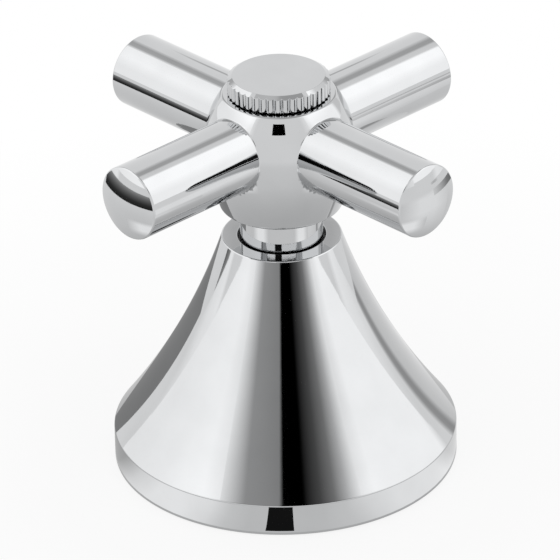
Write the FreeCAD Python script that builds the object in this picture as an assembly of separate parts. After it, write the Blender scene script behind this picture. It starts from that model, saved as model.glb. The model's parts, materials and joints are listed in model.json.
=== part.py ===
# Replacement tap handle: a cross-head handle turning on a bell-shaped flange, all sizes in mm
import FreeCAD
import Part
import math
import os

# Flange: a hollow bell with an upright rim, standing on the plane z = 0
flange_base_diameter = 55.5
flange_rim_height = 5.3
flange_height = 39.5
flange_land_diameter = 19.2
flange_bell_bow = 1.65
flange_wall = 2.0
flange_land_chamfer = 0.2

# Thread boss inside the bell, for M24 x 1, bored to the minor diameter
boss_bore_diameter = 22.92
boss_wall = 2.2
boss_length = 10.5
boss_top_depth = 9.5
boss_lead_chamfer = 0.8

# Bush that steadies the neck in the top of the flange
bush_wall = 1.3
bush_length = 4.6
bush_cover = 0.9
bush_lead_chamfer = 0.4

# Fits
running_clearance = 0.05
seat_clearance = 0.02
lip_gap = 0.4
screw_hole_clearance = 0.25

# Handle casting: neck, barrel hub and cross arms in one piece
neck_diameter = 13.3
neck_show = 5.8
neck_depth = 6.6
neck_chamfer = 0.3
hub_diameter = 23.4
hub_foot_diameter = 19.6
hub_foot_drop = 12.0
hub_foot_chamfer = 0.2
hub_land_rise = 7.5
arm_count = 4
arm_diameter = 12.0
arm_reach = 33.8
arm_dome = 1.2
arm_chamfer = 0.35

# Button well in the top of the hub, and the web under the screw head
well_diameter = 10.0
well_depth = 9.6
web_thickness = 3.0

# Spline insert for a spindle with an 8 mm head of 20 teeth
spline_count = 20
spline_root_diameter = 8.1
spline_tip_diameter = 7.2
insert_wall = 1.15
insert_length = 16.0
insert_lead_diameter = 8.5
insert_lead_length = 1.5

# Retaining screw with a cross recess, M4, and its split washer
screw_diameter = 4.0
screw_length = 12.0
screw_point_chamfer = 0.5
screw_head_diameter = 8.0
screw_head_height = 2.8
screw_head_chamfer = 0.8
recess_span = 4.4
recess_width = 1.0
recess_depth = 1.5
washer_diameter = 8.4
washer_thickness = 0.8
washer_bore_diameter = 4.4
washer_split = 0.6
washer_split_angle = 30.0

# Index button with a reeded rim and a stem that screws into the well
button_diameter = 16.3
button_height = 3.0
button_chamfer_width = 0.8
button_chamfer_height = 0.5
button_seat_diameter = 14.0
button_shadow_gap = 0.25
reed_count = 40
reed_depth = 0.3
stem_length = 5.2
stem_chamfer = 0.5

# Flat sealing ring round the stem, under the button
seal_width = 1.5
seal_thickness = 1.6
seal_groove_depth = 0.8

# Heights above the base plane
hub_foot_z = flange_height + neck_show
arm_axis_z = hub_foot_z + hub_foot_drop
hub_land_z = arm_axis_z + hub_land_rise
neck_end_z = flange_height - neck_depth
boss_top_z = flange_height - boss_top_depth
boss_foot_z = boss_top_z - boss_length
bush_top_z = flange_height - bush_cover
bush_foot_z = bush_top_z - bush_length
web_top_z = hub_land_z - well_depth
web_foot_z = web_top_z - web_thickness
insert_foot_z = web_foot_z - insert_length
screw_seat_z = web_top_z + washer_thickness
seal_foot_z = hub_land_z - seal_thickness - seat_clearance

# Radii that follow from the sizes above
base_r = flange_base_diameter / 2
flange_land_r = flange_land_diameter / 2
neck_r = neck_diameter / 2
hub_r = hub_diameter / 2
hub_foot_r = hub_foot_diameter / 2
arm_r = arm_diameter / 2
well_r = well_diameter / 2
stem_r = well_r - running_clearance
bush_bore_r = neck_r + running_clearance
bush_seat_r = bush_bore_r + bush_wall
boss_bore_r = boss_bore_diameter / 2
boss_outer_r = boss_bore_r + boss_wall
insert_bore_r = spline_root_diameter / 2 + insert_wall
screw_r = screw_diameter / 2
seal_bore_r = stem_r - seal_groove_depth
seal_outer_r = seal_bore_r + seal_width
seal_seat_r = seal_outer_r + seat_clearance

ORIGIN = FreeCAD.Vector(0, 0, 0)
UP = FreeCAD.Vector(0, 0, 1)
SIDE = FreeCAD.Vector(0, 1, 0)
FULL_TURN = 360


def at(r, z):
    return FreeCAD.Vector(r, 0, z)


def around(radius, angle, z):
    """The point at an angle round the vertical axis."""
    return FreeCAD.Vector(radius * math.cos(angle), radius * math.sin(angle), z)


def arc(start, middle, end):
    """An arc through three (r, z) points."""
    return Part.Arc(at(*start), at(*middle), at(*end)).toShape()


def turned(*items):
    """A solid turned about the vertical axis from a closed row of (r, z) points and arcs."""
    edges = []
    ends = []
    for item in items:
        if isinstance(item, Part.Shape):
            edges.append(item)
            ends.append((item.Vertexes[0].Point, item.Vertexes[-1].Point))
        else:
            ends.append((at(*item), at(*item)))
    for before, after in zip(ends, ends[1:] + ends[:1]):
        if before[1] != after[0]:
            edges.append(Part.makeLine(before[1], after[0]))
    face = Part.Face(Part.Wire(Part.__sortEdges__(edges)))
    return face.revolve(ORIGIN, UP, FULL_TURN)


def make_flange():
    """The bell: one large arc from rim to land, hollow below, with a thread boss and a bush seat."""
    chord_r = flange_land_r + flange_land_chamfer - base_r
    chord_z = flange_height - flange_land_chamfer - flange_rim_height
    chord = math.hypot(chord_r, chord_z)
    bow_r = (base_r + chord_r / 2) - flange_bell_bow * chord_z / chord
    bow_z = (flange_rim_height + chord_z / 2) + flange_bell_bow * chord_r / chord
    rim_bore_r = base_r - flange_wall
    hollow_slope = (bow_z - flange_rim_height) / (base_r - bow_r)
    hollow_top_z = flange_rim_height + (rim_bore_r - boss_outer_r) * hollow_slope
    return turned(
        (base_r, 0),
        arc((base_r, flange_rim_height), (bow_r, bow_z), (base_r + chord_r, flange_rim_height + chord_z)),
        (flange_land_r, flange_height),
        (neck_r + lip_gap, flange_height),
        (neck_r + lip_gap, bush_top_z),
        (bush_seat_r, bush_top_z),
        (bush_seat_r, boss_top_z + boss_bore_r - bush_seat_r),
        (boss_bore_r, boss_top_z),
        (boss_bore_r, boss_foot_z + boss_lead_chamfer),
        (boss_bore_r + boss_lead_chamfer, boss_foot_z),
        (boss_outer_r, boss_foot_z),
        (boss_outer_r, hollow_top_z),
        (rim_bore_r, flange_rim_height),
        (rim_bore_r, 0))


def make_bush():
    """The bush: pushed up into its seat until it meets the lip of the flange."""
    outer_r = bush_seat_r - seat_clearance
    return turned(
        (bush_bore_r, bush_foot_z),
        (outer_r - bush_lead_chamfer, bush_foot_z),
        (outer_r, bush_foot_z + bush_lead_chamfer),
        (outer_r, bush_top_z),
        (bush_bore_r, bush_top_z))


def make_arm():
    """One arm along +X: a plain bar with a small chamfer and an end domed by a large ball."""
    face_r = arm_r - arm_chamfer
    ball_r = (face_r ** 2 + arm_dome ** 2) / (2 * arm_dome)
    edge_x = arm_reach - arm_dome
    bar = turned(
        (0, 0),
        (arm_r, 0),
        (arm_r, edge_x - arm_chamfer),
        (face_r, edge_x),
        (face_r, arm_reach),
        (0, arm_reach))
    bar = bar.rotated(ORIGIN, SIDE, FULL_TURN / 4)
    ball = Part.makeSphere(ball_r, at(arm_reach - ball_r, 0), SIDE)
    return bar.common(ball).translated(at(0, arm_axis_z))


def make_handle():
    """The casting: a barrel below the arms, a ball above them, a flat land, four arms and a neck."""
    hub_land_r = math.sqrt(hub_r ** 2 - hub_land_rise ** 2)
    ball_rise = hub_land_rise / 2
    ball_r = math.sqrt(hub_r ** 2 - ball_rise ** 2)
    taper = hub_r - hub_foot_r
    barrel_radius = (hub_foot_drop ** 2 + taper ** 2) / (2 * taper)
    belly_drop = hub_foot_drop / 2
    belly_r = hub_r - barrel_radius + math.sqrt(barrel_radius ** 2 - belly_drop ** 2)
    belly = (belly_r, arm_axis_z - belly_drop)
    cross = turned(
        (0, neck_end_z),
        (neck_r - neck_chamfer, neck_end_z),
        (neck_r, neck_end_z + neck_chamfer),
        (neck_r, hub_foot_z),
        (hub_foot_r - hub_foot_chamfer, hub_foot_z),
        arc((hub_foot_r, hub_foot_z + hub_foot_chamfer), belly, (hub_r, arm_axis_z)),
        arc((hub_r, arm_axis_z), (ball_r, arm_axis_z + ball_rise), (hub_land_r, hub_land_z)),
        (0, hub_land_z))
    arm = make_arm()
    for index in range(arm_count):
        cross = cross.fuse(arm.rotated(ORIGIN, UP, FULL_TURN / arm_count * index))
    hollow = turned(
        (0, neck_end_z),
        (insert_bore_r + neck_chamfer, neck_end_z),
        (insert_bore_r, neck_end_z + neck_chamfer),
        (insert_bore_r, web_foot_z),
        (screw_r + screw_hole_clearance, web_foot_z),
        (screw_r + screw_hole_clearance, web_top_z),
        (well_r, web_top_z),
        (well_r, seal_foot_z),
        (seal_seat_r, seal_foot_z),
        (seal_seat_r, hub_land_z),
        (0, hub_land_z))
    return cross.removeSplitter().cut(hollow)


def make_insert():
    """The socket: round outside, toothed inside, with a plain round lead-in below."""
    blank = turned(
        (0, insert_foot_z),
        (insert_bore_r - seat_clearance, insert_foot_z),
        (insert_bore_r - seat_clearance, web_foot_z),
        (0, web_foot_z))
    star = []
    for index in range(spline_count * 2 + 1):
        diameter = spline_root_diameter if index % 2 else spline_tip_diameter
        star.append(around(diameter / 2, math.pi * index / spline_count, insert_foot_z))
    teeth = Part.Face(Part.makePolygon(star)).extrude(at(0, insert_length))
    lead = Part.makeCylinder(insert_lead_diameter / 2, insert_lead_length, at(0, insert_foot_z), UP)
    return blank.cut(teeth).cut(lead)


def make_screw():
    """The retaining screw: a pan head with a cross recess and a plain shank at the thread's outer size."""
    head_r = screw_head_diameter / 2
    point_z = screw_seat_z - screw_length
    head_top = screw_seat_z + screw_head_height
    blank = turned(
        (0, point_z),
        (screw_r - screw_point_chamfer, point_z),
        (screw_r, point_z + screw_point_chamfer),
        (screw_r, screw_seat_z),
        (head_r, screw_seat_z),
        (head_r, head_top - screw_head_chamfer),
        (head_r - screw_head_chamfer, head_top),
        (0, head_top))
    slot = Part.makeBox(recess_span, recess_width, recess_depth)
    slot = slot.translated(FreeCAD.Vector(-recess_span / 2, -recess_width / 2, head_top - recess_depth))
    return blank.cut(slot).cut(slot.rotated(ORIGIN, UP, FULL_TURN / 4))


def make_washer():
    """The spring washer under the screw head, cut through once at a slant."""
    ring = turned(
        (washer_bore_diameter / 2, web_top_z),
        (washer_diameter / 2, web_top_z),
        (washer_diameter / 2, screw_seat_z),
        (washer_bore_diameter / 2, screw_seat_z))
    blade = Part.makeBox(washer_diameter, washer_split, washer_diameter)
    blade = blade.translated(FreeCAD.Vector(0, -washer_split / 2, -washer_diameter / 2))
    blade = blade.rotated(ORIGIN, FreeCAD.Vector(1, 0, 0), washer_split_angle)
    return ring.cut(blade.translated(at(0, web_top_z)))


def make_button():
    """The index button: a flat cap with a reeded rim, a seat, a seal groove and a stem."""
    rim_r = button_diameter / 2
    top_z = hub_land_z + button_height
    rim_foot_z = hub_land_z + button_shadow_gap
    stem_end_z = hub_land_z - stem_length
    cap = turned(
        (0, rim_foot_z),
        (rim_r, rim_foot_z),
        (rim_r, top_z - button_chamfer_height),
        (rim_r - button_chamfer_width, top_z),
        (0, top_z))
    step = 2 * math.pi / reed_count
    reeds = []
    for index in range(reed_count):
        valley = around(rim_r - reed_depth, step * index, rim_foot_z)
        crest = around(rim_r, step * (index + 1 / 2), rim_foot_z)
        next_valley = around(rim_r - reed_depth, step * (index + 1), rim_foot_z)
        reeds.append(Part.Arc(valley, crest, next_valley).toShape())
    reeded = Part.Face(Part.Wire(reeds)).extrude(at(0, button_height))
    stem = turned(
        (0, stem_end_z),
        (stem_r - stem_chamfer, stem_end_z),
        (stem_r, stem_end_z + stem_chamfer),
        (stem_r, seal_foot_z),
        (seal_bore_r - seat_clearance, seal_foot_z),
        (seal_bore_r - seat_clearance, hub_land_z),
        (button_seat_diameter / 2, hub_land_z),
        (button_seat_diameter / 2, rim_foot_z),
        (0, rim_foot_z))
    return cap.common(reeded).fuse(stem).removeSplitter()


def make_seal():
    """The sealing ring between the stem and the well."""
    return turned(
        (seal_bore_r, seal_foot_z),
        (seal_outer_r, seal_foot_z),
        (seal_outer_r, seal_foot_z + seal_thickness),
        (seal_bore_r, seal_foot_z + seal_thickness))


os.makedirs("parts", exist_ok=True)
make_flange().exportStep("parts/flange.step")
make_bush().exportStep("parts/neck_bush.step")
make_handle().exportStep("parts/handle_body.step")
make_insert().exportStep("parts/spline_insert.step")
make_screw().exportStep("parts/retaining_screw.step")
make_washer().exportStep("parts/lock_washer.step")
make_button().exportStep("parts/index_button.step")
make_seal().exportStep("parts/button_seal.step")
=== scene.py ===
import json
import math

import bmesh
import bpy
from bpy.props import FloatProperty, FloatVectorProperty, IntProperty, PointerProperty
from bpy.types import Operator, Panel, PropertyGroup
from mathutils import Matrix, Vector

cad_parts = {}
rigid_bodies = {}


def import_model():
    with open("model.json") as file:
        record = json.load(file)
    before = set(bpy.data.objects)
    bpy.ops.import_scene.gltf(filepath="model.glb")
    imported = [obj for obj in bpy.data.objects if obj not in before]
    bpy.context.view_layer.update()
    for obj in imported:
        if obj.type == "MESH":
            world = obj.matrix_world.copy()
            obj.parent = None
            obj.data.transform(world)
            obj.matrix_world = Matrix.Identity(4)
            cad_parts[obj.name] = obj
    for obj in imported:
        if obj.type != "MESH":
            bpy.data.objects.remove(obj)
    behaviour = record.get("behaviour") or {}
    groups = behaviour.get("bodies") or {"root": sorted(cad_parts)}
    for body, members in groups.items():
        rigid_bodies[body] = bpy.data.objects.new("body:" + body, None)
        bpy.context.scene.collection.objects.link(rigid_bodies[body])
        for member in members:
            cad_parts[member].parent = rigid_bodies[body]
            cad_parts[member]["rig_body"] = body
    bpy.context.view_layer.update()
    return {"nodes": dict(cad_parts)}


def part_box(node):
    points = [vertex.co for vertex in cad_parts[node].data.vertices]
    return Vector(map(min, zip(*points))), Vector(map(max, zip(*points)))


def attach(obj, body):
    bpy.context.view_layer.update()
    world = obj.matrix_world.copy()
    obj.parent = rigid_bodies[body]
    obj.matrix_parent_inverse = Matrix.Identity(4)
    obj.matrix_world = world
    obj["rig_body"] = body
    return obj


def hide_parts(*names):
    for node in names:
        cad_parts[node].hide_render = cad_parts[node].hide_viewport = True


bl_info = {
    "name": "Cross-head tap handle",
    "version": (1, 0, 0),
    "blender": (4, 5, 0),
    "location": "View3D > Sidebar > Tap handle",
    "description": "Dresses the packed tap handle: chrome bell flange, cross casting, reeded button "
                   "and studio",
    "category": "Mesh",
}

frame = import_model()
FLANGE_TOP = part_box("flange")[1].z
BASE_DIAMETER = 2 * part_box("flange")[1].x
NECK_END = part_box("handle_body")[0].z
ARM_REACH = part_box("handle_body")[1].x
HUB_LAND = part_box("handle_body")[1].z
STEM_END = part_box("index_button")[0].z
BUTTON_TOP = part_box("index_button")[1].z
MM = 0.001
UPRIGHT = (0, 0, 1)
SIDEWAYS = (0, 1, 0)
FULL_TURN = 2 * math.pi
WHITE = (1, 1, 1, 1)

# Density of the meshes
ARC_STEPS = 24
FLANGE_STEPS = 256
CASTING_STEPS = 192
REED_STEPS = 8
CARD_STEPS = 48
EDGE_SEGMENTS = 3

# Tolerances and limits
SEAM_GAP = 1e-7
REED_SEAM_GAP = 1e-6
WELD_GAP = 0.002 * MM
BOX_MARGIN = 0.001 * MM
EDGE_ANGLE = math.radians(25)
SHARP_ANGLE = math.radians(32)

# Materials: the middle of the noise, where most of its values lie
NOISE_SPAN = (0.3, 0.7)

# Studio: the brightest level a card can have, the gap between cards at one place, and the depth
# between first and repeated reflections
CARD_PEAK = 2.0
CARD_GAP = 1.0 * MM
REPEATED_FROM = 1.5
HALF_WAY = 0.5
LEVEL_RISE = ((0, 1), (1, 1))
SENSOR_WIDTH = 36.0
FLOOR_HALF_WIDTH = 4.0
FLOOR_GAP = 0.2 * MM

# Floor: reflections see a white glow with painted shade, darker near the object by the share of
# the way to the reach; to the camera it shows its own shadow by the share that isn't white
FLOOR_SHADE_REACH = 0.2
FLOOR_MIRRORED_PAINTED_SHADE = ((0.2, 0.63), (0.25, 0.67), (0.31, 0.73), (0.39, 0.82), (0.48, 0.86), (0.75, 0.95), (1, 1))
FLOOR_SHADOW_EDGE = (0.04, 0.12)
FLOOR_WHITE_SHARE = (0.85, 1.0)


def length(name, description, default):
    """A size that the user can change, in metres."""
    return FloatProperty(name=name, description=description, default=default, precision=5,
                         unit="LENGTH", subtype="DISTANCE")


def colour(name, description, default):
    """A colour that the user can change."""
    return FloatVectorProperty(name=name, description=description, default=default, size=3, min=0, max=1,
                               subtype="COLOR")


def angle(name, description, degrees):
    """An angle that the user can change."""
    return FloatProperty(name=name, description=description, default=math.radians(degrees),
                         unit="ROTATION", subtype="ANGLE")


def number(name, description, default):
    """A plain number that the user can change."""
    return FloatProperty(name=name, description=description, default=default, precision=4)


class FlangeSizes(PropertyGroup):
    base_diameter: length("Foot", "Diameter of the upright rim", BASE_DIAMETER)
    rim_height: length("Rim", "Height of the upright rim", 5.3 * MM)
    height: length("Height", "Height of the land at the top", FLANGE_TOP)
    land_diameter: length("Land", "Diameter of the flat land round the neck", 19.2 * MM)
    bell_bow: length("Bow", "How far the bell's side curves in from a straight cone", 1.65 * MM)
    wall: length("Wall", "Thickness of the rim", 2.0 * MM)
    lip_diameter: length("Lip", "Hole in the land that the neck goes through", 14.1 * MM)
    lip_depth: length("Lip depth", "Thickness of the lip above the bush", 0.9 * MM)
    seat_diameter: length("Bush seat", "Bore that holds the bush", 16.0 * MM)
    boss_diameter: length("Boss", "Outside of the thread boss", 27.32 * MM)
    boss_bore: length("Boss bore", "Bore of the thread boss at the thread's crests", 22.92 * MM)
    boss_depth: length("Boss depth", "Depth of the boss bore's top below the land", 9.5 * MM)
    boss_length: length("Boss length", "Length of the thread boss", 10.5 * MM)
    boss_lead: length("Boss lead-in", "Chamfer at the foot of the boss bore", 0.8 * MM)
    edge: length("Edge", "Rounding of the polished edges", 0.18 * MM)


class HandleSizes(PropertyGroup):
    neck_diameter: length("Neck", "Diameter of the neck", 13.3 * MM)
    bore_diameter: length("Bore", "Bore for the splined insert", 10.4 * MM)
    hub_foot: length("Hub foot", "Height of the underside of the hub", 45.3 * MM)
    hub_foot_diameter: length("Hub foot width", "Diameter of the underside of the hub", 19.6 * MM)
    hub_diameter: length("Hub", "Diameter of the hub at the arms", 23.4 * MM)
    arm_height: length("Arm height", "Height of the arms' centre line", 57.3 * MM)
    arm_diameter: length("Arm", "Diameter of the arms", 12.0 * MM)
    arm_reach: length("Reach", "Distance of the arm ends from the centre", ARM_REACH - BOX_MARGIN)
    arm_dome: length("Dome", "How far the arm ends bulge", 1.2 * MM)
    arm_root: length("Arm root", "Where the arms start inside the hub", 7.0 * MM)
    arm_fillet: length("Arm fillet", "Rounding in the corner between the arms and the hub", 0.4 * MM)
    fillet_sink: length("Fillet sink", "How far the rounding runs into the hub", 0.02 * MM)
    land_height: length("Land", "Height of the flat land under the button", HUB_LAND)
    seal_diameter: length("Seal seat", "Recess for the sealing ring", 11.34 * MM)
    seal_depth: length("Seal depth", "Depth of the seal's recess", 1.62 * MM)
    well_diameter: length("Well", "Bore that takes the button's stem", 10.0 * MM)
    well_depth: length("Well depth", "Depth of the well below the land", 9.6 * MM)
    web: length("Web", "Thickness of the web under the screw head", 3.0 * MM)
    screw_hole: length("Screw hole", "Hole for the retaining screw", 4.5 * MM)
    edge: length("Edge", "Rounding of the polished edges", 0.22 * MM)


class ButtonSizes(PropertyGroup):
    diameter: length("Button", "Diameter over the reeds", 16.3 * MM)
    reed_count: IntProperty(name="Reeds", description="Reeds round the rim", default=40, min=12, max=120)
    reed_depth: length("Reed depth", "Depth of the valleys between the reeds", 0.3 * MM)
    chamfer_width: length("Chamfer width", "Width of the chamfer round the top", 0.8 * MM)
    chamfer_height: length("Chamfer height", "Height of the chamfer round the top", 0.5 * MM)
    seat_diameter: length("Seat", "Diameter of the seat on the hub", 14.0 * MM)
    shadow_gap: length("Gap", "Gap between the reeds and the hub", 0.25 * MM)
    stem_diameter: length("Stem", "Diameter of the stem", 9.9 * MM)
    groove_diameter: length("Groove", "Diameter of the stem where the seal sits", 8.3 * MM)
    groove_height: length("Groove height", "Height of the seal's groove", 1.62 * MM)
    edge: length("Edge", "Rounding of the polished edges", 0.03 * MM)


class Finishes(PropertyGroup):
    chrome: colour("Chrome", "Polished chrome plate", (0.585, 0.592, 0.6))
    acetal: colour("Acetal", "Moulded black acetal of the bush", (0.02, 0.02, 0.02))
    brass: colour("Brass", "Machined brass of the insert", (0.72, 0.55, 0.26))
    steel: colour("Steel", "Passivated steel of the screw and washer", (0.62, 0.62, 0.61))
    rubber: colour("Rubber", "Black rubber of the sealing ring", (0.03, 0.03, 0.03))


class StudioSettings(PropertyGroup):
    azimuth: angle("Azimuth", "Camera's angle round the object", 46.5)
    elevation: angle("Elevation", "Camera's angle above the floor", 28.7)
    roll: angle("Roll", "Camera's lean to the side", 1.146)
    distance: length("Distance", "Camera's distance from the aim point", 0.96)
    aim_height: length("Aim", "Height of the aim point", 32.0 * MM)
    focal_length: number("Lens", "Focal length in millimetres", 385.4)
    shift_x: number("Shift across", "Camera's shift to the right", -0.0045)
    shift_y: number("Shift up", "Camera's shift upwards", -0.0102)
    wall_radius: length("Wall", "Distance of the big cards from the object's middle", 0.45)
    ceiling: length("Ceiling", "Height of the big cards", 0.8)
    near_radius: length("Near", "Distance of the small cards from the object's middle", 0.06)
    shade_radius: length("Shades", "Distance of the cards at the foot from the object's middle", 0.045)
    rim_reach: length("Rim reach", "How near a surface is that mirrors the rim's own cards", 0.02)
    floor: colour("Floor", "Pale paper floor", (0.86, 0.86, 0.86))
    sky_light: number("Sky", "Strength of the light from all round", 0.55)
    lamp_width: length("Lamp width", "Diameter of the overhead lamp", 0.8)
    lamp_height: length("Lamp height", "Height of the overhead lamp", 0.9)
    lamp_power: number("Lamp power", "Power of the overhead lamp in watts", 3.0)


class TapHandleSettings(PropertyGroup):
    flange: PointerProperty(type=FlangeSizes)
    handle: PointerProperty(type=HandleSizes)
    button: PointerProperty(type=ButtonSizes)
    finish: PointerProperty(type=Finishes)
    studio: PointerProperty(type=StudioSettings)


def lathe(points, steps):
    """A shell turned about the upright axis from a loop of points.

    A point is (radius, height, bulge of the run before it)."""
    bm = bmesh.new()
    first = bm.verts.new((points[0][0], 0, points[0][1]))
    last = first
    for radius, height, bulge in points[1:]:
        end = Vector((radius, 0, height))
        if bulge:
            half = (end - last.co).length / 2
            across = Vector((end.z - last.co.z, 0, last.co.x - end.x)).normalized()
            centre = (last.co + end) / 2 - across * (half ** 2 - bulge ** 2) / (2 * bulge)
            swept = bmesh.ops.spin(bm, geom=[last], cent=centre, axis=SIDEWAYS,
                                   angle=-4 * math.atan(bulge / half), steps=ARC_STEPS)
            last = next(item for item in swept["geom_last"] if isinstance(item, bmesh.types.BMVert))
        else:
            corner = bm.verts.new(end)
            bm.edges.new((last, corner))
            last = corner
    if first.co.x or last.co.x:
        bm.edges.new((last, first))
    bmesh.ops.spin(bm, geom=bm.verts[:] + bm.edges[:], cent=(0, 0, 0), axis=UPRIGHT, angle=FULL_TURN,
                   steps=steps, use_merge=True)
    bmesh.ops.remove_doubles(bm, verts=bm.verts[:], dist=SEAM_GAP)
    bmesh.ops.recalc_face_normals(bm, faces=bm.faces[:])
    return bm


def new_object(bm, name, edge):
    """An object from the bmesh, with smooth faces and rounded edges."""
    mesh = bpy.data.meshes.new(name)
    bm.to_mesh(mesh)
    bm.free()
    mesh.shade_smooth()
    made = bpy.data.objects.new(name, mesh)
    bpy.context.scene.collection.objects.link(made)
    rounding = made.modifiers.new("Polished edges", "BEVEL")
    rounding.width = edge
    rounding.segments = EDGE_SEGMENTS
    rounding.limit_method = "ANGLE"
    rounding.angle_limit = EDGE_ANGLE
    rounding.harden_normals = True
    return made


def weld(piece, bars):
    """Joins bars to a piece as one closed skin."""
    for bar in bars:
        join = piece.modifiers.new(bar.name, "BOOLEAN")
        join.operation = "UNION"
        join.solver = "MANIFOLD"
        join.object = bar
    skin = bpy.data.meshes.new_from_object(piece.evaluated_get(bpy.context.evaluated_depsgraph_get()))
    skin.name = piece.name
    bm = bmesh.new()
    bm.from_mesh(skin)
    bmesh.ops.remove_doubles(bm, verts=bm.verts[:], dist=WELD_GAP)
    bmesh.ops.recalc_face_normals(bm, faces=bm.faces[:])
    bm.to_mesh(skin)
    bm.free()
    skin.shade_smooth()
    skin.set_sharp_from_angle(angle=SHARP_ANGLE)
    piece.modifiers.clear()
    piece.data = skin
    for bar in bars:
        bpy.data.meshes.remove(bar.data)
    even = piece.modifiers.new("Even shading", "WEIGHTED_NORMAL")
    even.keep_sharp = True


def finish_piece(piece, material, node):
    """Gives a piece its finish and puts it in the place of a CAD node."""
    piece.data.materials.clear()
    piece.data.materials.append(material)
    cad = frame["nodes"][node]
    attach(piece, cad["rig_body"])
    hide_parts(node)


def plug(tree, value, socket):
    """Links a socket or sets its value."""
    if isinstance(value, bpy.types.NodeSocket):
        tree.links.new(value, socket)
    else:
        socket.default_value = value


def add_node(tree, kind, **sockets):
    """A shader node with its input sockets set by name or number."""
    new = tree.nodes.new(kind)
    for name, value in sockets.items():
        plug(tree, value, new.inputs[name.replace("_", " ")])
    return new


def principled(name, **sockets):
    """A new material with one Principled shader, set by socket name."""
    material = bpy.data.materials.new(name)
    material.use_nodes = True
    tree = material.node_tree
    tree.nodes.clear()
    shader = add_node(tree, "ShaderNodeBsdfPrincipled", **sockets)
    out = tree.nodes.new("ShaderNodeOutputMaterial")
    tree.links.new(shader.outputs["BSDF"], out.inputs["Surface"])
    return material, tree, shader


def calculate(tree, operation, *values):
    """A maths node on sockets and numbers."""
    step = tree.nodes.new("ShaderNodeMath")
    step.operation = operation
    for value, socket in zip(values, step.inputs):
        plug(tree, value, socket)
    return step.outputs["Value"]


def blend(tree, share, first, second):
    """Two shaders mixed: only the first for a share of 0, and only the second for 1."""
    mix = tree.nodes.new("ShaderNodeMixShader")
    for value, socket in zip((share, first, second), mix.inputs):
        plug(tree, value, socket)
    return mix.outputs["Shader"]


def span_of(tree, value, low, high, start=0.0, end=1.0):
    """A value between low and high brought to another range."""
    span = add_node(tree, "ShaderNodeMapRange", Value=value, From_Min=low, From_Max=high, To_Min=start,
                    To_Max=end)
    return span.outputs["Result"]


def alike(scale):
    """The same scale along each axis."""
    return (scale, scale, scale)


def grain(tree, stretch, detail, low=0.0, high=1.0):
    """Noise in object space, with its own scale along each axis, brought to a range."""
    place = tree.nodes.new("ShaderNodeTexCoord").outputs["Object"]
    spread = add_node(tree, "ShaderNodeMapping", Vector=place, Scale=stretch).outputs["Vector"]
    noise = add_node(tree, "ShaderNodeTexNoise", Vector=spread, Scale=1.0, Detail=detail)
    return span_of(tree, noise.outputs["Fac"], *NOISE_SPAN, low, high)


def shaded(tree, base, factor, dark, light):
    """A colour that wanders between a darker and a lighter tone of the base."""
    mix = tree.nodes.new("ShaderNodeMix")
    mix.data_type = "RGBA"
    tree.links.new(factor, mix.inputs["Factor"])
    mix.inputs["A"].default_value = (*(dark * c for c in base), 1)
    mix.inputs["B"].default_value = (*(min(1, light * c) for c in base), 1)
    return mix.outputs["Result"]


def dimple(tree, shader, height, strength, depth):
    """Small bumps on the surface."""
    bump = add_node(tree, "ShaderNodeBump", Height=height, Strength=strength, Distance=depth)
    tree.links.new(bump.outputs["Normal"], shader.inputs["Normal"])


def chrome_plate(name, base):
    """Bright chrome plate over a polished casting: near mirror, with faint haze and ripple."""
    material, tree, shader = principled(name, Metallic=1.0)
    tone = shaded(tree, base, grain(tree, alike(140), detail=3.0), dark=0.97, light=1.02)
    tree.links.new(tone, shader.inputs["Base Color"])
    haze = grain(tree, alike(260), detail=4.0, low=0.022, high=0.05)
    tree.links.new(haze, shader.inputs["Roughness"])
    dimple(tree, shader, grain(tree, alike(900), detail=2.0), strength=0.02, depth=0.02 * MM)
    return material


def moulded_black(name, base, gloss, stipple):
    """Black moulded plastic or rubber with a fine stipple."""
    material, tree, shader = principled(name)
    tone = shaded(tree, base, grain(tree, alike(700), detail=4.0), dark=0.8, light=1.5)
    tree.links.new(tone, shader.inputs["Base Color"])
    sheen = grain(tree, alike(1500), detail=3.0, low=gloss - 0.08, high=gloss + 0.08)
    tree.links.new(sheen, shader.inputs["Roughness"])
    dimple(tree, shader, grain(tree, alike(5000), detail=2.0), strength=stipple, depth=0.03 * MM)
    return material


def machined_metal(name, base, rough):
    """Bare turned metal with fine tool marks round the upright axis."""
    material, tree, shader = principled(name, Metallic=1.0)
    tone = shaded(tree, base, grain(tree, (400, 400, 1600), detail=4.0), dark=0.86, light=1.06)
    tree.links.new(tone, shader.inputs["Base Color"])
    marks = grain(tree, (120, 120, 9000), detail=3.0)
    sheen = grain(tree, (500, 500, 3000), detail=3.0, low=rough - 0.07, high=rough + 0.08)
    tree.links.new(sheen, shader.inputs["Roughness"])
    dimple(tree, shader, marks, strength=0.15, depth=0.03 * MM)
    return material


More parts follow.
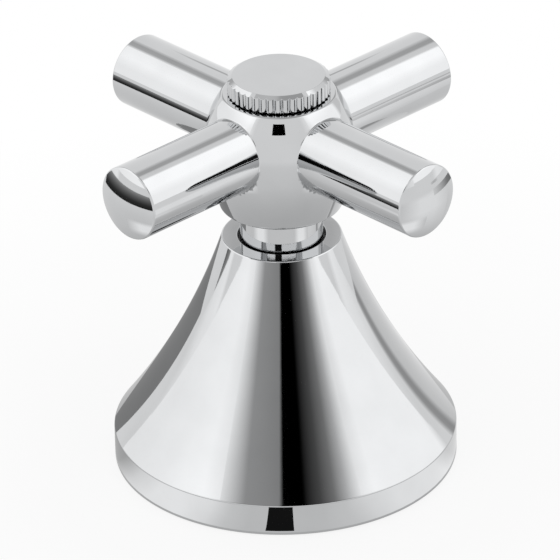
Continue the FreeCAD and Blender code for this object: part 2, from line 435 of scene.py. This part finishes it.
class TAPHANDLE_OT_flange(Operator):
    """Turns the chrome bell flange with its thread boss and bush seat"""

    bl_idname = "taphandle.flange"
    bl_label = "Bell flange"

    def execute(self, context):
        size = context.scene.tap_handle.flange
        base = size.base_diameter / 2
        rim_bore = base - size.wall
        land = size.land_diameter / 2
        boss = size.boss_diameter / 2
        bore = size.boss_bore / 2
        seat = size.seat_diameter / 2
        lip = size.lip_diameter / 2
        boss_top = size.height - size.boss_depth
        boss_foot = boss_top - size.boss_length
        spread = base - land
        climb = size.height - size.rim_height
        bow = size.bell_bow / math.hypot(spread, climb)
        slope = (climb / 2 - bow * spread) / (spread / 2 + bow * climb)
        hollow_top = size.rim_height + (rim_bore - boss) * slope
        bell = lathe([
            (base, 0, 0),
            (base, size.rim_height, 0),
            (land, size.height, -size.bell_bow),
            (lip, size.height, 0),
            (lip, size.height - size.lip_depth, 0),
            (seat, size.height - size.lip_depth, 0),
            (seat, boss_top + bore - seat, 0),
            (bore, boss_top, 0),
            (bore, boss_foot + size.boss_lead, 0),
            (bore + size.boss_lead, boss_foot, 0),
            (boss, boss_foot, 0),
            (boss, hollow_top, 0),
            (rim_bore, size.rim_height, 0),
            (rim_bore, 0, 0)], FLANGE_STEPS)
        chrome = chrome_plate("chrome_flange", context.scene.tap_handle.finish.chrome)
        finish_piece(new_object(bell, "bell_flange", size.edge), chrome, "flange")
        return {"FINISHED"}


class TAPHANDLE_OT_handle(Operator):
    """Turns the hub and its four arms as one chrome casting"""

    bl_idname = "taphandle.handle"
    bl_label = "Cross casting"

    def execute(self, context):
        size = context.scene.tap_handle.handle
        neck = size.neck_diameter / 2
        bore = size.bore_diameter / 2
        foot = size.hub_foot_diameter / 2
        hub = size.hub_diameter / 2
        rise = size.land_height - size.arm_height
        drop = size.arm_height - size.hub_foot
        land = math.sqrt(hub ** 2 - rise ** 2)
        well = size.well_diameter / 2
        seal = size.seal_diameter / 2
        hole = size.screw_hole / 2
        web_top = size.land_height - size.well_depth
        belly = (drop ** 2 + (hub - foot) ** 2) / (2 * (hub - foot))
        belly_bulge = belly - math.sqrt(belly ** 2 - (drop ** 2 + (hub - foot) ** 2) / 4)
        crown_bulge = hub - math.sqrt(hub ** 2 - (rise ** 2 + (hub - land) ** 2) / 4)
        arm = size.arm_diameter / 2
        ball = (arm ** 2 + size.arm_dome ** 2) / (2 * size.arm_dome)
        dome_bulge = ball - math.sqrt(ball ** 2 - (arm ** 2 + size.arm_dome ** 2) / 4)
        fillet = size.arm_fillet
        sunk = hub - size.fillet_sink
        fillet_bulge = fillet * (1 - math.cos(math.acos((arm + fillet) / (sunk + fillet)) / 2))
        fillet_end = math.sqrt((sunk + fillet) ** 2 - (arm + fillet) ** 2)
        fillet_share = sunk / (sunk + fillet)
        fillet_foot = (arm + fillet) * fillet_share
        fillet_start = fillet_end * fillet_share
        casting = lathe([
            (bore, NECK_END, 0),
            (neck, NECK_END, 0),
            (neck, size.hub_foot, 0),
            (foot, size.hub_foot, 0),
            (hub, size.arm_height, belly_bulge),
            (land, size.land_height, crown_bulge),
            (seal, size.land_height, 0),
            (seal, size.land_height - size.seal_depth, 0),
            (well, size.land_height - size.seal_depth, 0),
            (well, web_top, 0),
            (hole, web_top, 0),
            (hole, web_top - size.web, 0),
            (bore, web_top - size.web, 0)], CASTING_STEPS)
        bars = []
        for quarter in range(4):
            bar = lathe([
                (0, size.arm_root, 0),
                (size.arm_root, size.arm_root, 0),
                (size.arm_root, fillet_start - (size.arm_root - fillet_foot), 0),
                (fillet_foot, fillet_start, 0),
                (arm, fillet_end, -fillet_bulge),
                (arm, size.arm_reach - size.arm_dome, 0),
                (0, size.arm_reach, dome_bulge)], CASTING_STEPS)
            lift = Matrix.Translation((0, 0, size.arm_height))
            spin = Matrix.Rotation(quarter * FULL_TURN / 4, 4, "Z")
            lay = Matrix.Rotation(FULL_TURN / 4, 4, "Y")
            bmesh.ops.transform(bar, matrix=lift @ spin @ lay, verts=bar.verts[:])
            bars.append(new_object(bar, f"arm_{quarter}", size.edge))
        piece = new_object(casting, "cross_casting", size.edge)
        weld(piece, bars)
        chrome = chrome_plate("chrome_handle", context.scene.tap_handle.finish.chrome)
        finish_piece(piece, chrome, "handle_body")
        return {"FINISHED"}


def ring_at(bm, edges, radius, height):
    """Extrudes a loop of edges and puts the new loop on a level circle."""
    made = bmesh.ops.extrude_edge_only(bm, edges=edges)["geom"]
    for vert in made:
        if isinstance(vert, bmesh.types.BMVert):
            flat = Vector((vert.co.x, vert.co.y, 0)).normalized()
            vert.co = flat * radius + Vector((0, 0, height))
    return [item for item in made if isinstance(item, bmesh.types.BMEdge)]


class TAPHANDLE_OT_button(Operator):
    """Makes the index button with its reeded rim and stem"""

    bl_idname = "taphandle.button"
    bl_label = "Reeded button"

    def execute(self, context):
        size = context.scene.tap_handle.button
        land = context.scene.tap_handle.handle.land_height
        crest = size.diameter / 2
        valley = crest - size.reed_depth
        flat = crest - size.chamfer_width
        step = FULL_TURN / size.reed_count
        rim_foot = land + size.shadow_gap
        half = valley * math.sin(step / 2)
        bulge = crest - valley * math.cos(step / 2)
        reed_radius = (half ** 2 + bulge ** 2) / (2 * bulge)
        bm = bmesh.new()
        start = bm.verts.new((valley * math.cos(step / 2), -half, rim_foot))
        bmesh.ops.spin(bm, geom=[start], cent=(crest - reed_radius, 0, rim_foot), axis=UPRIGHT,
                       angle=4 * math.atan(bulge / half), steps=REED_STEPS)
        bmesh.ops.spin(bm, geom=bm.verts[:] + bm.edges[:], cent=(0, 0, 0), axis=UPRIGHT, angle=FULL_TURN,
                       steps=size.reed_count, use_duplicate=True)
        bmesh.ops.remove_doubles(bm, verts=bm.verts[:], dist=REED_SEAM_GAP)
        outline = bm.edges[:]
        lower = ring_at(bm, outline, size.seat_diameter / 2, rim_foot)
        for radius, height in (
                (size.seat_diameter / 2, land),
                (size.groove_diameter / 2, land),
                (size.groove_diameter / 2, land - size.groove_height),
                (size.stem_diameter / 2, land - size.groove_height),
                (size.stem_diameter / 2, STEM_END)):
            lower = ring_at(bm, lower, radius, height)
        bmesh.ops.contextual_create(bm, geom=lower)
        made = bmesh.ops.extrude_edge_only(bm, edges=outline)["geom"]
        for vert in made:
            if isinstance(vert, bmesh.types.BMVert):
                inset = (math.hypot(vert.co.x, vert.co.y) - flat) / size.chamfer_width
                vert.co.z = BUTTON_TOP - inset * size.chamfer_height
        rim = [item for item in made if isinstance(item, bmesh.types.BMEdge)]
        top = ring_at(bm, rim, flat, BUTTON_TOP)
        bmesh.ops.contextual_create(bm, geom=top)
        bmesh.ops.recalc_face_normals(bm, faces=bm.faces[:])
        chrome = chrome_plate("chrome_button", context.scene.tap_handle.finish.chrome)
        finish_piece(new_object(bm, "reeded_button", size.edge), chrome, "index_button")
        return {"FINISHED"}


class TAPHANDLE_OT_fittings(Operator):
    """Gives the hidden fittings their finishes: bush, insert, screw, washer and sealing ring"""

    bl_idname = "taphandle.fittings"
    bl_label = "Hidden fittings"

    def execute(self, context):
        finish = context.scene.tap_handle.finish
        steel = machined_metal("steel_passivated", finish.steel, rough=0.28)
        looks = {
            "neck_bush": moulded_black("acetal_black", finish.acetal, gloss=0.42, stipple=0.1),
            "spline_insert": machined_metal("brass_machined", finish.brass, rough=0.24),
            "retaining_screw": steel,
            "lock_washer": steel,
            "button_seal": moulded_black("rubber_black", finish.rubber, gloss=0.7, stipple=0.3),
        }
        for node, material in looks.items():
            frame["nodes"][node].data.materials.clear()
            frame["nodes"][node].data.materials.append(material)
        return {"FINISHED"}


def seen_ray(tree, direct, mirrored):
    """How much of the plain white background a ray shows.

    Direct is the share for the camera's rays, and mirrored for those by a reflection or through glass."""
    path = tree.nodes.new("ShaderNodeLightPath").outputs
    total = 0.0
    for kind, share in (("Is Camera Ray", direct), ("Is Glossy Ray", mirrored),
                        ("Is Transmission Ray", mirrored)):
        total = calculate(tree, "MULTIPLY_ADD", path[kind], share, total)
    return total


def distance_from(tree, place):
    """Distance from the object's middle."""
    size = add_node(tree, "ShaderNodeVectorMath", Vector=place)
    size.operation = "LENGTH"
    return size.outputs["Value"]


def ramp_of(tree, position, stops):
    """A grey ramp through (position, level) stops."""
    ramp = add_node(tree, "ShaderNodeValToRGB", Fac=position)
    marks = ramp.color_ramp.elements
    while len(marks) < len(stops):
        marks.new(HALF_WAY)
    for mark, (place, level) in zip(marks, stops):
        mark.position = place
        mark.color = (level, level, level, 1)
    return ramp.outputs["Color"]


def over_clear(tree, share, shader):
    """A shader shown by a share, and clear for the rest."""
    return blend(tree, share, tree.nodes.new("ShaderNodeBsdfTransparent").outputs["BSDF"], shader)


def card_material(name, start, end, front, levels, rise, bounce, fade, reach):
    """The glow of a studio card, set by the angle and along its edge."""
    material = bpy.data.materials.new(name)
    material.use_nodes = True
    tree = material.node_tree
    tree.nodes.clear()
    place = tree.nodes.new("ShaderNodeTexCoord").outputs["Object"]
    turned = add_node(tree, "ShaderNodeMapping", Vector=place, Rotation=(0, 0, -front))
    sweep = add_node(tree, "ShaderNodeTexGradient", Vector=turned.outputs["Vector"])
    sweep.gradient_type = "RADIAL"
    around = ramp_of(tree, sweep.outputs["Fac"],
                     [(HALF_WAY + degrees / 360, level / CARD_PEAK) for degrees, level in levels])
    if start[1] == end[1]:
        along = span_of(tree, distance_from(tree, place), start[0], end[0])
    else:
        height = add_node(tree, "ShaderNodeSeparateXYZ", Vector=place).outputs["Z"]
        along = span_of(tree, height, start[1], end[1])
    strength = calculate(tree, "MULTIPLY", around, ramp_of(tree, along, rise))
    glow = add_node(tree, "ShaderNodeEmission", Color=(CARD_PEAK, CARD_PEAK, CARD_PEAK, 1),
                    Strength=strength)
    shown = glow.outputs["Emission"]
    path = tree.nodes.new("ShaderNodeLightPath").outputs
    if fade:
        shown = over_clear(tree, ramp_of(tree, along, fade), shown)
    if bounce:
        order = "LESS_THAN" if bounce == 1 else "GREATER_THAN"
        shown = over_clear(tree, calculate(tree, order, path["Glossy Depth"], REPEATED_FROM), shown)
    if reach:
        shown = over_clear(tree, calculate(tree, "LESS_THAN", path["Ray Length"], reach), shown)
    add_node(tree, "ShaderNodeOutputMaterial", Surface=shown)
    return material


def studio_card(name, start, end, front, levels, rise=LEVEL_RISE, bounce=None, fade=None, reach=None):
    """A card swept round the object from an edge between two (radius, height) points.

    Only reflections show it. Levels are (degrees to the right of the camera, brightness), rise is
    (share of the edge, factor) and fade is (share of the edge, how solid the card is there). A card
    with a bounce shows only to light that has been mirrored once, for 1, or more often, for 2. A card
    with a reach shows only to what is nearer than that."""
    first, last = levels[0][0], levels[-1][0]
    bm = bmesh.new()
    ends = [bm.verts.new((radius, 0, height)) for radius, height in (start, end)]
    edge = bm.edges.new(ends)
    swing = Matrix.Rotation(front + math.radians(first), 4, "Z")
    bmesh.ops.transform(bm, matrix=swing, verts=bm.verts[:])
    bmesh.ops.spin(bm, geom=[*ends, edge], cent=(0, 0, 0), axis=UPRIGHT, angle=math.radians(last - first),
                   steps=CARD_STEPS)
    mesh = bpy.data.meshes.new(name)
    bm.to_mesh(mesh)
    bm.free()
    mesh.materials.append(card_material(name, start, end, front, levels, rise, bounce, fade, reach))
    card = bpy.data.objects.new(name, mesh)
    bpy.context.scene.collection.objects.link(card)
    card.visible_camera = False
    card.visible_diffuse = False
    card.visible_shadow = False


class TAPHANDLE_OT_studio(Operator):
    """Sets the floor, light, reflection cards and camera"""

    bl_idname = "taphandle.studio"
    bl_label = "Studio"

    def execute(self, context):
        scene = context.scene
        size = scene.tap_handle.studio
        scene.view_settings.view_transform = "Standard"
        self.camera(scene, size)
        self.world(scene, size)
        self.floor(scene, size)
        self.cards(size)
        self.lamp(scene, size)
        return {"FINISHED"}

    def camera(self, scene, size):
        back = Vector((math.sin(size.azimuth) * math.cos(size.elevation),
                       -math.cos(size.azimuth) * math.cos(size.elevation), math.sin(size.elevation)))
        right = Vector((math.cos(size.azimuth), math.sin(size.azimuth), 0))
        up = back.cross(right)
        leaning = (math.cos(size.roll) * right - math.sin(size.roll) * up).normalized()
        lens = bpy.data.cameras.new("camera")
        lens.lens = size.focal_length
        lens.sensor_width = SENSOR_WIDTH
        lens.shift_x = size.shift_x
        lens.shift_y = size.shift_y
        view = bpy.data.objects.new("camera", lens)
        stand = Vector((0, 0, size.aim_height)) + back * size.distance
        turn = Matrix((leaning, back.cross(leaning), back)).transposed()
        view.matrix_world = Matrix.Translation(stand) @ turn.to_4x4()
        scene.collection.objects.link(view)
        scene.camera = view

    def world(self, scene, size):
        scene.world = bpy.data.worlds.new("studio")
        scene.world.use_nodes = True
        tree = scene.world.node_tree
        tree.nodes.clear()
        light = add_node(tree, "ShaderNodeBackground", Color=WHITE, Strength=size.sky_light)
        white = add_node(tree, "ShaderNodeBackground", Color=WHITE, Strength=1.0)
        sky = blend(tree, seen_ray(tree, 1, 1), light.outputs["Background"], white.outputs["Background"])
        add_node(tree, "ShaderNodeOutputWorld", Surface=sky)

    def floor(self, scene, size):
        bm = bmesh.new()
        bmesh.ops.create_grid(bm, x_segments=1, y_segments=1, size=FLOOR_HALF_WIDTH,
                              matrix=Matrix.Translation((0, 0, -FLOOR_GAP)))
        mesh = bpy.data.meshes.new("floor")
        bm.to_mesh(mesh)
        bm.free()
        material, tree, shader = principled("paper_floor", Roughness=0.9)
        tone = shaded(tree, size.floor, grain(tree, alike(40), detail=4.0), dark=0.985, light=1.01)
        tree.links.new(tone, shader.inputs["Base Color"])
        away = distance_from(tree, tree.nodes.new("ShaderNodeTexCoord").outputs["Object"])
        # Painted shade: the glow that reflections see of the floor is darker near the object
        mirrored = ramp_of(tree, span_of(tree, away, 0, FLOOR_SHADE_REACH), FLOOR_MIRRORED_PAINTED_SHADE)
        direct = span_of(tree, away, *FLOOR_SHADOW_EDGE, *FLOOR_WHITE_SHARE)
        white = add_node(tree, "ShaderNodeEmission", Color=WHITE, Strength=seen_ray(tree, 1, mirrored))
        paper = blend(tree, seen_ray(tree, direct, 1), shader.outputs["BSDF"], white.outputs["Emission"])
        tree.links.new(paper, tree.nodes["Material Output"].inputs["Surface"])
        mesh.materials.append(material)
        floor = bpy.data.objects.new("floor", mesh)
        scene.collection.objects.link(floor)

    def cards(self, size):
        front = size.azimuth - FULL_TURN / 4
        wall = size.wall_radius
        near = size.near_radius
        ceiling = size.ceiling
        brighter_up = [(0, 0.88), (0.2, 0.88), (0.45, 1), (1, 1)]
        soft_sides = [(0, 0), (0.3, 1), (0.7, 1), (1, 0)]
        first_layer, second_layer, third_layer = 0.4 * MM, 0.5 * MM, 0.6 * MM

        def upright(name, radius, foot, top, levels, facing=front, **more):
            studio_card(name, (radius, foot), (radius, top), facing, levels, **more)

        def lying(name, height, inner, outer, levels, **more):
            studio_card(name, (inner, height), (outer, height), front, levels, **more)

        # Big cards at the studio's wall and ceiling, which the bell and the arms mirror
        upright("left_softbox", wall, foot=0.05, top=ceiling, rise=brighter_up,
                levels=[(-136, 1.4), (-60, 1.62), (-45, 1.4)])
        upright("right_softbox", wall, foot=0.06, top=ceiling, rise=brighter_up,
                levels=[(50, 1.3), (62, 1.62), (117, 1.62), (124, 1.0), (138, 0.95)])
        upright("front_scrim", wall, foot=0.075, top=0.56,
                levels=[(-47, 1.2), (-30, 0.42), (-4.5, 0.33), (-4, 0), (12, 0), (24, 0.09), (34, 0.25),
                        (42, 0.6), (52, 1.25)])
        upright("left_strip", wall, foot=0.2, top=ceiling,
                levels=[(-164, 0.9), (-156, 0.55), (-144, 0.6), (-136, 1.2)])
        upright("right_strip", wall, foot=0.2, top=ceiling,
                levels=[(138, 1.0), (146, 0.55), (158, 0.55), (168, 0.95)])
        lying("top_shade", ceiling, inner=0.0, outer=0.36,
              levels=[(-180, 0.6), (-90, 0.75), (0, 0.58), (90, 0.5), (180, 0.6)])
        upright("left_low", wall - CARD_GAP, foot=0, top=0.052,
                levels=[(-120, 1.0), (-110, 1.2), (-98, 1.28), (-94, 1.05)])
        upright("right_low", wall - CARD_GAP, foot=0, top=0.062,
                levels=[(86, 1.02), (93, 1.28), (106, 1.2), (120, 1.0)])

        # Small cards beside the object, for the sides of the bell, the hub, the neck and the land
        upright("left_shade", size.shade_radius, foot=0, top=0.0245,
                levels=[(-170, 0.9), (-150, 0.285), (-110, 0.285)])
        upright("right_shade", size.shade_radius, foot=0, top=0.028,
                levels=[(102, 0.95), (105, 0.45), (109, 0.4), (114, 0.8), (150, 0.9)])
        upright("hub_fill", near, foot=0.06, top=0.15, bounce=1,
                levels=[(-47, 1.2), (-40, 1), (39, 1), (49, 1.2)])
        upright("twice_seen", near + CARD_GAP, foot=0.058, top=0.096, bounce=2,
                levels=[(-46, 1.3), (-19, 1.3), (-18, 0.01), (-1, 0.01), (0, 1.3), (46, 1.3)],
                rise=[(0, 0.01), (0.22, 0.01), (0.23, 1), (0.31, 1), (0.32, 0.01), (1, 0.01)])
        upright("land_shade", 2 * near, foot=0.0968, top=0.1138, facing=front + math.pi, fade=soft_sides,
                levels=[(-7, 1), (-5, 0.6), (5, 0.6), (7, 1)])
        upright("hub_flag", near - CARD_GAP / 2, foot=0.085, top=0.109, levels=[(-12, 0), (9, 0)])

        # Cards on the floor, for the rim, the neck and the undersides of the arms
        lying("rim_flag", third_layer, inner=0.028, outer=0.0368, reach=size.rim_reach,
              levels=[(-7.4, 0.01), (2.2, 0.01)])
        lying("rim_ring", first_layer, inner=0.0279, outer=0.0385, reach=size.rim_reach,
              levels=[(-112, 0.45), (-82, 0.5), (-68, 1.0), (-55, 1.25), (-40, 1.25), (-30, 1.15),
                      (-22, 0.88), (-14, 0.79), (14, 0.79), (24, 0.88), (33, 1.08), (45, 1.22), (70, 1.22),
                      (82, 0.87), (108, 0.75)])
        lying("left_gap", first_layer, inner=0.17, outer=0.42, levels=[(-114, 0.4), (-45, 0.4)],
              rise=[(0, 0.05), (0.15, 0.1), (1, 1)])
        lying("right_gap", third_layer, inner=0.17, outer=0.24, levels=[(82, 0.95), (104, 0.3), (114, 0.2)])
        lying("right_line", first_layer, inner=0.33, outer=0.42,
              levels=[(81, 0.9), (84, 0.7), (88, 0.7), (91, 0.9)])
        lying("left_neck_glow", second_layer, inner=0.068, outer=0.1, fade=soft_sides,
              levels=[(-82, 0.84), (-66, 1.24), (-50, 1.24), (-36, 0.84)])
        lying("right_neck_glow", second_layer, inner=0.068, outer=0.1, fade=soft_sides,
              levels=[(34, 0.84), (46, 1.24), (60, 1.24), (74, 0.84)])
        lying("right_glow", first_layer, inner=0.06, outer=0.24, fade=soft_sides,
              levels=[(40, 0.86), (64, 1.15), (84, 1.15), (104, 0.95)])

    def lamp(self, scene, size):
        light = bpy.data.lights.new("overhead", "AREA")
        light.shape = "DISK"
        light.size = size.lamp_width
        light.energy = size.lamp_power
        lamp = bpy.data.objects.new("overhead", light)
        lamp.location = (0, 0, size.lamp_height)
        lamp.visible_glossy = False
        scene.collection.objects.link(lamp)


OPERATORS = (TAPHANDLE_OT_flange, TAPHANDLE_OT_handle, TAPHANDLE_OT_button, TAPHANDLE_OT_fittings,
             TAPHANDLE_OT_studio)


class TAPHANDLE_PT_panel(Panel):
    """Lists the pieces of the tap handle and their sizes"""

    bl_label = "Tap handle"
    bl_idname = "TAPHANDLE_PT_panel"
    bl_space_type = "VIEW_3D"
    bl_region_type = "UI"
    bl_category = "Tap handle"

    def draw(self, context):
        for operator in OPERATORS:
            self.layout.operator(operator.bl_idname)
        for group in ("flange", "handle", "button", "finish", "studio"):
            sizes = getattr(context.scene.tap_handle, group)
            box = self.layout.box()
            for name in sizes.__annotations__:
                box.prop(sizes, name)


CLASSES = (FlangeSizes, HandleSizes, ButtonSizes, Finishes, StudioSettings, TapHandleSettings, *OPERATORS,
           TAPHANDLE_PT_panel)


def register():
    for cls in CLASSES:
        bpy.utils.register_class(cls)
    bpy.types.Scene.tap_handle = PointerProperty(type=TapHandleSettings)


def unregister():
    del bpy.types.Scene.tap_handle
    for cls in reversed(CLASSES):
        bpy.utils.unregister_class(cls)


def main():
    register()
    bpy.ops.taphandle.flange()
    bpy.ops.taphandle.handle()
    bpy.ops.taphandle.button()
    bpy.ops.taphandle.fittings()
    bpy.ops.taphandle.studio()


if __name__ == "__main__":
    main()
